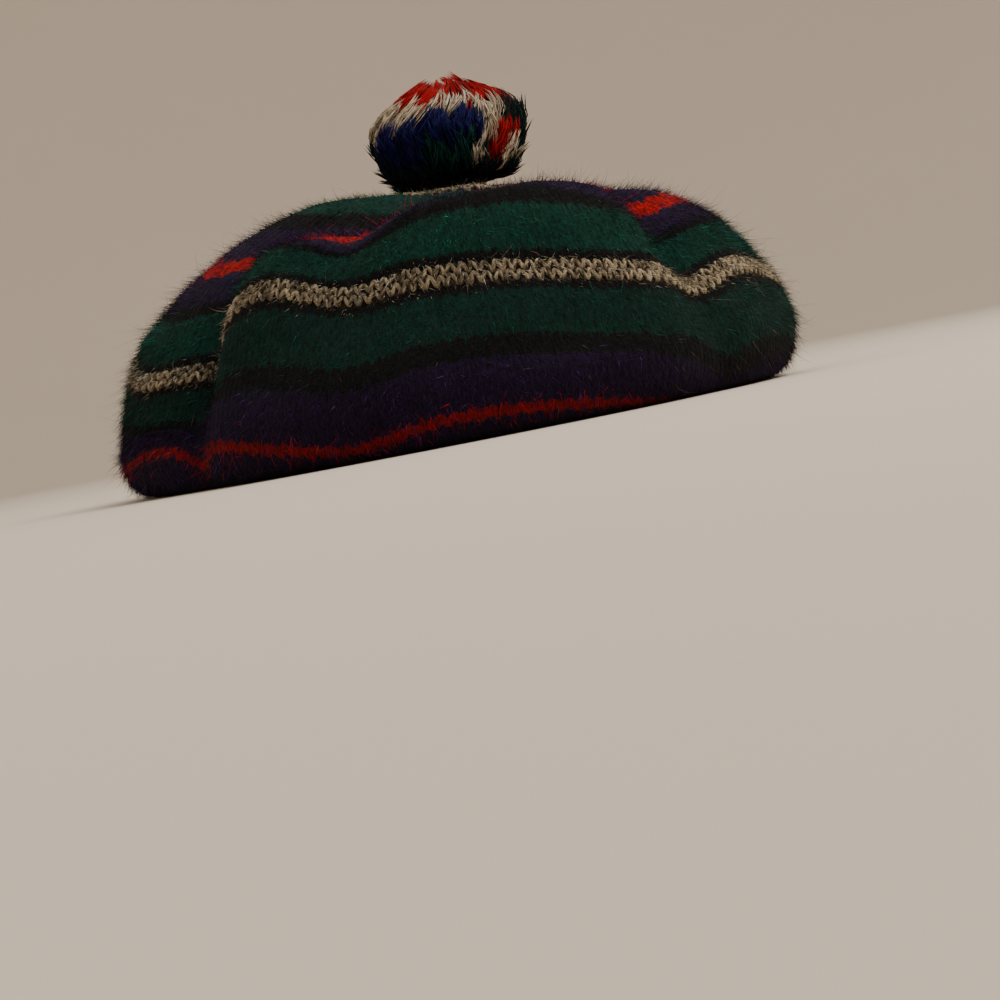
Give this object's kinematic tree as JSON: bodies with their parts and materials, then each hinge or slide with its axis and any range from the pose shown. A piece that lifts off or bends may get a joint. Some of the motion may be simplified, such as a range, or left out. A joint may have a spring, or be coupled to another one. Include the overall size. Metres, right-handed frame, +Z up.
{
  "type": "tam o shanter",
  "caption": "Soft round knitted tam with an overhanging four-lobed crown, ringed in coloured stripes, and a yarn pompom tied to the middle of the crown.",
  "frame": {"origin": "on the surface that the hat rests on, under the middle of the body's outline", "axes": "+Z up through the crown and the pompom, -Y towards the wearer's front, -X towards the wearer's right"},
  "size_m": [0.251, 0.2492, 0.1345],
  "materials": {
    "brushed_knit": "fulled and brushed wool knitting with a hairy nap, in rings of green, black, purple, red and cream",
    "pompom_yarn": "cut wool yarn ends in red, cream, navy and dark green",
    "tie_yarn": "twisted cream wool yarn"
  },
  "bodies": {
    "root": {"knitted_body": "brushed_knit", "pompom": "pompom_yarn", "pompom_tie": "tie_yarn"}
  },
  "joints": []
}
